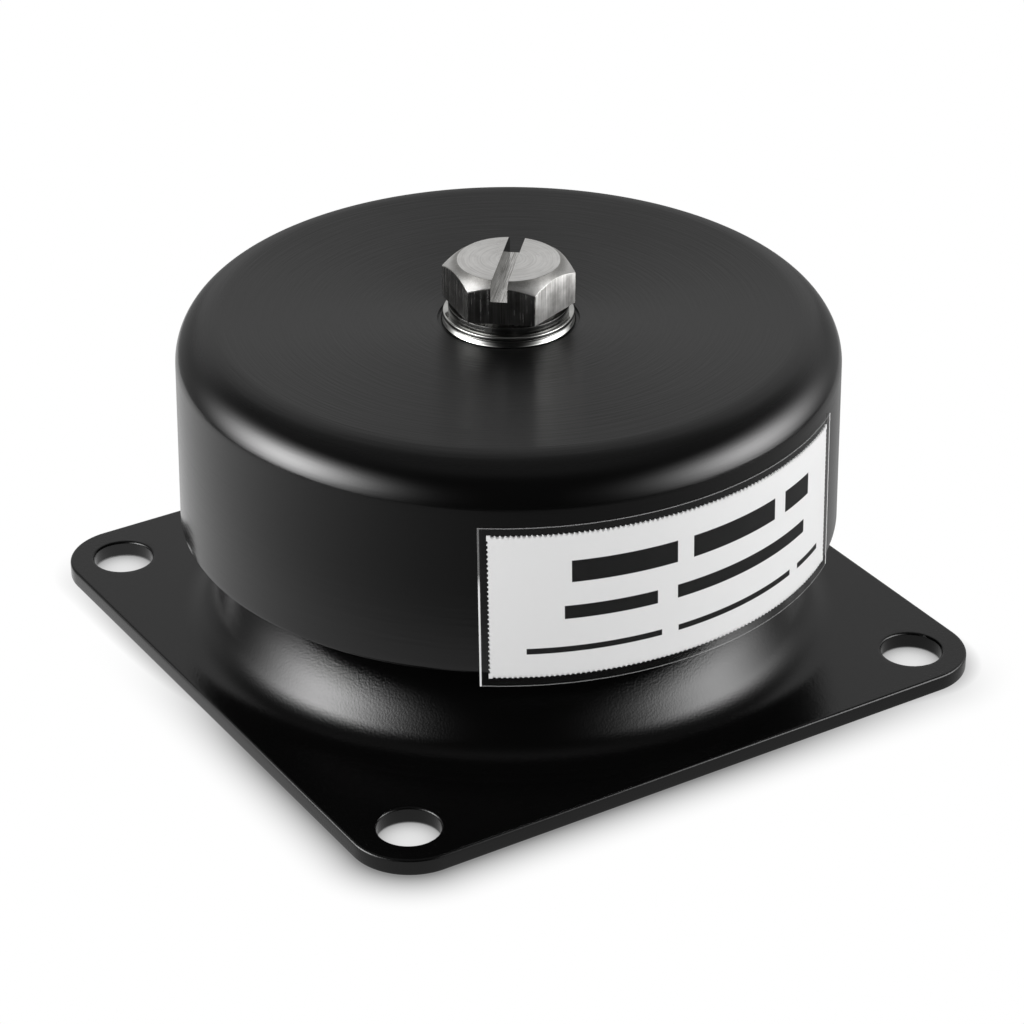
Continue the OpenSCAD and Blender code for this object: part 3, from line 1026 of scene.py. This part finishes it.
def printedLabel(width, height):
    # white print ground with plain bars in three rows
    look = {
        "white": 0.80,
        "shade": 0.96,
        "ink": 0.006,
        "inkShare": 0.995,
        "rough": 0.42,
        "gloss": 0.1,
        "fibreScale": 1500,
        "fibreDepth": 0.004,
    }
    bars = [
        (-8.6, 4.0, 12.0, 2.6),
        (5.4, 4.0, 12.0, 2.6),
        (15.8, 4.0, 5.0, 2.6),
        (-10.2, -0.9, 10.4, 1.6),
        (7.4, -0.9, 20.0, 1.6),
        (-12.0, -5.4, 15.0, 0.7),
        (6.0, -5.4, 17.0, 0.7),
        (18.6, -5.4, 5.0, 0.7),
    ]
    tree = newTree("labelPrint")
    across, up, _ = tree.parts(tree.node("ShaderNodeTexCoord", output="UV"))
    across = (across - 0.5) * width
    up = (up - 0.5) * height
    ink = barMask(across, up, bars[0])
    for bar in bars[1:]:
        ink = ink.most(barMask(across, up, bar))
    fibre = tree.noise(tree.place(), look["fibreScale"], 4)
    paper = tree.mix(fibre, gray(look["white"] * look["shade"]), gray(look["white"]))
    return tree.surface(tree.principled(
        Base_Color=tree.mix(ink * look["inkShare"], paper, gray(look["ink"])),
        Roughness=look["rough"],
        Normal=tree.bump(fibre, look["fibreDepth"] * mm),
        Specular_IOR_Level=look["gloss"],
    ))


def clearFilm(width, height):
    # nearly invisible, but for its cut rim, drawn as a pale, partly opaque band: the rim's own pale
    # line with a painted glint on it, strong at the sides, faint at top and bottom and weaker on the
    # upper part of the left side
    look = {
        "color": 0.9,
        "rough": 0.15,
        "body": 0.003,
        "sideWidth": 0.24,
        "side": 0.9,
        "sideLoss": 0.8,
        "glintLossRange": (0.6, 0.72),
        "endWidth": 0.12,
        "top": 0.14,
        "bottom": 0.12,
    }
    tree = newTree("clearFilm")
    across, up, _ = tree.parts(tree.node("ShaderNodeTexCoord", output="UV"))
    across = across * width
    up = up * height

    # a pale band along one rim: the rim's own line with a painted glint
    def rimBand(distance, reach, strength):
        return (1 - distance.step(reach * 0.6, reach)) * strength

    # the left rim's band fades above: painted glint
    leftGlintLoss = (up / height).step(*look["glintLossRange"]) * look["sideLoss"]
    left = rimBand(across, look["sideWidth"], look["side"] - leftGlintLoss)
    right = rimBand(width - across, look["sideWidth"], look["side"])
    top = rimBand(height - up, look["endWidth"], look["top"])
    bottom = rimBand(up, look["endWidth"], look["bottom"])
    return tree.surface(tree.principled(
        Base_Color=gray(look["color"]),
        Roughness=look["rough"],
        Alpha=left.most(right).most(top).most(bottom) + look["body"],
    ))


def labelPieces():
    width = label["width"]
    filmWidth = width + 2 * label["margin"]
    labelHeight = filmHeight - 2 * label["margin"]
    thick = label["thick"]
    film = thick + label["film"]
    sheetPiece("printedLabel", width, labelHeight, (0, thick), label["grid"], True,
               printedLabel(width, labelHeight), "label")
    sheetPiece("labelFilm", filmWidth, filmHeight, (film - label["filmSkin"], film), label["filmGrid"],
               False, clearFilm(filmWidth, filmHeight), "label_film")


labelPieces()
print("label made")


# Camera, as the photograph was taken

camera = {
    "azimuth": -32.12,
    "elevation": 28.78,
    "distance": 0.40702,
    "target": (0, 0, 0.02013),
    "lens": 124.6,
    "shift": (0.00334, -0.0448),
    "sensor": 36,
    "clip": (0.02, 20),
}


def direction(azimuth, elevation):
    turn, rise = np.radians(azimuth), np.radians(elevation)
    return Vector((np.sin(turn) * np.cos(rise), -np.cos(turn) * np.cos(rise), np.sin(rise)))


def makeCamera(spec):
    data = bpy.data.cameras.new("camera")
    data.lens = spec["lens"]
    data.sensor_width = spec["sensor"]
    data.shift_x, data.shift_y = spec["shift"]
    data.clip_start, data.clip_end = spec["clip"]
    eye = bpy.data.objects.new("camera", data)
    back = direction(spec["azimuth"], spec["elevation"])
    eye.location = Vector(spec["target"]) + back * spec["distance"]
    eye.rotation_mode = "QUATERNION"
    eye.rotation_quaternion = (-back).to_track_quat("-Z", "Y")
    bpy.context.scene.collection.objects.link(eye)
    bpy.context.scene.camera = eye


# Studio: a soft lamp close by on each side, a pale area behind, a dim tent and a white floor

lamps = {
    "leftLamp": {"azimuth": -99, "height": 51, "wide": 15, "tall": 31, "level": 13},
    "rightLamp": {"azimuth": 43, "height": 51, "wide": 16.5, "tall": 30, "level": 8.2},
}
lampWall = {"radius": 150, "low": 1, "halfTurn": 60, "grid": (25, 13), "onMatt": 0.3}
sky = {
    "areaRise": 0.6,
    "areaEdge": (0.84, 1.10),
    "bandStart": 0.4,
    "bandRise": (0.05, 0.45),
    "bandFall": (0.46, 0.78),
    "bandSides": (0.35, 0.85),
    "pale": 0.44,
    "tentRise": 0.6,
    "tentEdge": (-0.3, 0.35),
    "tent": 0.07,
    "aboveEdge": (0.8, 0.95),
    "above": 0.05,
    "ambient": 0.97,
}
ground = {
    "radius": 130,
    "drop": 0.02,
    "points": 96,
    "near": 0.37,
    "leftTurn": -125,
    "leftSpread": 42,
    "left": 0.45,
    "darkTurn": -28,
    "darkSpread": 42,
    "darkRange": (62, 82),
    "dark": 0.66,
    "shadowFrom": (4, 34),
    "shadowReach": 6.5,
    "shadow": 0.74,
    "contactFrom": (-20, 10),
    "contactReach": 2.2,
    "contact": 0.42,
    "least": 0.03,
}


def rayKinds(tree):
    # 1 for a ray that the camera sees by, straight or through a clear piece; 1 for a mirrored ray
    ray = {name: tree.node("ShaderNodeLightPath", output=name)
           for name in ("Is Camera Ray", "Is Glossy Ray", "Is Transmission Ray")}
    return ray["Is Camera Ray"].most(ray["Is Transmission Ray"]), ray["Is Glossy Ray"]


def lobe(tree, place, azimuth, elevation, spread):
    # e to the power of (cosine to the lobe's middle less 1) over the spread squared
    settings = {"operation": "DOT_PRODUCT"}
    middle = direction(azimuth, elevation)
    cosine = tree.node("ShaderNodeVectorMath", settings, {0: place, 1: middle}, "Value")
    power = (cosine - 1) / np.radians(spread) ** 2
    return power.math("EXPONENT", power)


def makeLamp(name, spec, wall):
    # a piece of an upright round wall; its glow is a bell curve along the turn and the height
    tree = newTree(name)
    x, y, z = tree.parts(tree.place())
    flat = tree.node("ShaderNodeVectorMath", {"operation": "NORMALIZE"}, {0: tree.vector(x, y, 0)})
    rise = (z / mm - spec["height"]) / spec["tall"]
    fall = rise * rise * -0.5
    _, glossy = rayKinds(tree)
    share = glossy + (1 - glossy) * wall["onMatt"]
    beam = lobe(tree, flat, spec["azimuth"], 0, spec["wide"]) * fall.math("EXPONENT", fall)
    glow = beam * share * spec["level"]
    lamp = tree.node("ShaderNodeEmission", {}, {"Color": gray(1), "Strength": glow})
    clear = tree.node("ShaderNodeBsdfTransparent", {}, {"Color": gray(1)})
    both = tree.node("ShaderNodeAddShader", {}, {0: lamp, 1: clear})
    tree.node("ShaderNodeOutputMaterial", {}, {"Surface": both})
    columns, rows = wall["grid"]
    halfTurn = wall["halfTurn"]
    turn = np.radians(spec["azimuth"] + np.linspace(-halfTurn, halfTurn, columns))[:, None]
    height = np.linspace(wall["low"], spec["height"] + spec["tall"] * 3, rows)[None, :]
    points = np.stack([
        np.broadcast_to(np.sin(turn), wall["grid"]) * wall["radius"],
        np.broadcast_to(-np.cos(turn), wall["grid"]) * wall["radius"],
        np.broadcast_to(height, wall["grid"]),
    ], axis=-1)
    mesh = bpy.data.meshes.new(name)
    mesh.from_pydata(points.reshape(-1, 3) * mm, [], gridFaces(columns, rows, False, False))
    mesh.materials.append(tree.holder)
    card = bpy.data.objects.new(name, mesh)
    card.visible_camera = False
    bpy.context.scene.collection.objects.link(card)


def makeWorld(spec):
    # a round pale area behind, a low pale band to both sides of it, a dim tent and a dim top
    world = bpy.data.worlds.new("studioWorld")
    tree = Tree(world)
    x, y, z = tree.parts(tree.node("ShaderNodeTexCoord", output="Generated"))
    back = direction(camera["azimuth"] + 180, 0)
    behind = x * back.x + y * back.y
    start = spec["bandStart"]
    band = z.step(*spec["bandRise"]) * (1 - start) + start
    band = band * (1 - z.step(*spec["bandFall"])) * behind.step(*spec["bandSides"])
    area = (behind + z * spec["areaRise"]).step(*spec["areaEdge"])
    tent = (z * spec["tentRise"] + behind).step(*spec["tentEdge"]) * spec["tent"]
    light = band.most(area) * spec["pale"] + tent + z.step(*spec["aboveEdge"]) * spec["above"]
    seen, glossy = rayKinds(tree)
    level = seen + (1 - seen) * (light + (1 - glossy) * spec["ambient"])
    shader = tree.node("ShaderNodeBackground", {}, {"Color": gray(1), "Strength": level})
    tree.node("ShaderNodeOutputWorld", {}, {"Surface": shader})
    bpy.context.scene.world = world


def makeFloor(spec):
    # seen straight on it is white less the shadow that the plate throws close by;
    # reflected it is pale, brighter at the left and dark in front
    tree = newTree("paleFloor")
    seen, glossy = rayKinds(tree)
    place = tree.place()
    x, y, _ = tree.parts(place)
    radius, _, _ = tree.polar(place)
    outward = tree.node("ShaderNodeVectorMath", {"operation": "NORMALIZE"}, {0: place})
    left = lobe(tree, outward, spec["leftTurn"], 0, spec["leftSpread"]) * spec["left"]
    away = (radius / mm).step(*spec["darkRange"])
    dark = lobe(tree, outward, spec["darkTurn"], 0, spec["darkSpread"]) * away * spec["dark"]
    glow = (left + spec["near"]) * (1 - dark)

    # how far a point lies in front, and past the plate's rounded outline
    front = direction(camera["azimuth"], 0)
    ahead = (x * front.x + y * front.y) / mm
    straight = plateHigh[0] - base["cornerRadius"]
    pastX = (abs(x) / mm - straight).most(0)
    pastY = (abs(y) / mm - straight).most(0)
    past = pastX.math("SQRT", pastX * pastX + pastY * pastY) - base["cornerRadius"]
    under = past < -1

    # shadow: wide and soft in front, narrow round the plate, and in the holes by their depth
    fade = (1 - past.most(0) / spec["shadowReach"]).most(0)
    wide = ahead.step(*spec["shadowFrom"]) * fade * fade * spec["shadow"]
    touch = (1 - past.most(0) / spec["contactReach"]).most(0)
    narrow = ahead.step(*spec["contactFrom"]) * touch * spec["contact"]
    reach = {"Distance": spec["shadowReach"] * mm}
    lit = tree.node("ShaderNodeAmbientOcclusion", {"samples": 24}, reach, "AO")
    shade = wide.most(narrow) * (1 - under) + (1 - lit) * under
    level = seen * (1 - shade).most(spec["least"]) + (1 - seen) * glow
    shader = tree.node("ShaderNodeEmission", {}, {"Color": gray(1), "Strength": level})
    tree.node("ShaderNodeOutputMaterial", {}, {"Surface": shader})
    count = spec["points"]
    turn = np.linspace(0, 2 * np.pi, count, endpoint=False)
    ring = np.column_stack([np.cos(turn), np.sin(turn)]) * spec["radius"]
    points = np.column_stack([ring, np.full(count, -spec["drop"])])
    mesh = bpy.data.meshes.new("floor")
    mesh.from_pydata(points * mm, [], [range(count)])
    mesh.materials.append(tree.holder)
    floor = bpy.data.objects.new("floor", mesh)
    bpy.context.scene.collection.objects.link(floor)


makeCamera(camera)
for name, spec in lamps.items():
    makeLamp(name, spec, lampWall)
makeWorld(sky)
makeFloor(ground)
bpy.context.scene.view_settings.view_transform = "Standard"
print("studio made")
